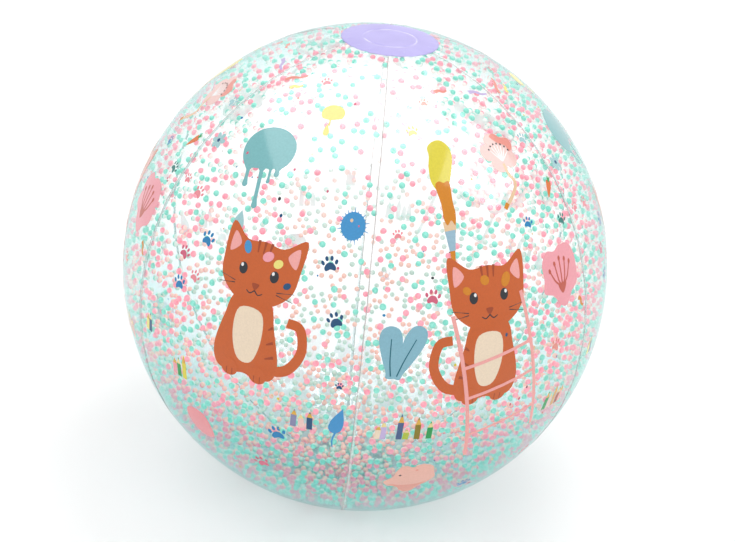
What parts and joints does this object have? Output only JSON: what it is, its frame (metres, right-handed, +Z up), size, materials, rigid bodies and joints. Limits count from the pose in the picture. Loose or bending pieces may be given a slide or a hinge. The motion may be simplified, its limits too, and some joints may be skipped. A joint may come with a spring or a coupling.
{
  "type": "inflatable beach ball",
  "caption": "Clear inflatable ball of welded film panels with lilac end discs, a push-in inflation valve and loose pink and mint foam beads inside.",
  "frame": {"origin": "centre of the flat patch of the lower disc that the ball rests on", "axes": "+Z up the polar axis through both discs; -Y is the front, where the seam between gore_1 and gore_6 lies; +X is to the right when the front is seen"},
  "size_m": [0.35, 0.3504, 0.351],
  "materials": {
    "film": "clear, glossy film with a pale aqua tint",
    "disc": "lilac film, glossy",
    "valve": "translucent soft plastic",
    "plug": "milky soft plastic",
    "bead_pink": "foam bead",
    "bead_mint": "foam bead"
  },
  "bodies": {
    "ball": {"gore_1": "film", "gore_2": "film", "gore_3": "film", "gore_4": "film", "gore_5": "film", "gore_6": "film", "top_disc": "disc", "bottom_disc": "disc", "valve_flange": "valve", "valve_cuff": "valve", "beads_pink": "bead_pink", "beads_mint": "bead_mint"},
    "stem": {"valve_stem": "valve", "plug_strap": "plug"},
    "flap": {"check_flap": "valve"},
    "plug": {"valve_plug": "plug"}
  },
  "joints": [
    {"name": "stem_slide", "type": "slide", "parent": "ball", "child": "stem", "axis": [-0.4968, 0.8605, 0.1132], "range_m": [0, 0.009], "deforming": ["valve_cuff"]},
    {"name": "plug_pull", "type": "slide", "parent": "stem", "child": "plug", "axis": [-0.4968, 0.8605, 0.1132], "range_m": [0, 0.011], "deforming": ["plug_strap"]},
    {"name": "flap_hinge", "type": "hinge", "parent": "stem", "child": "flap", "pos_m": [-0.08548, 0.13886, 0.19441], "axis": [-0.0566, 0.098, -0.9936], "range_deg": [0, 60], "stiffness_Nm_per_rad": 0.000004}
  ]
}
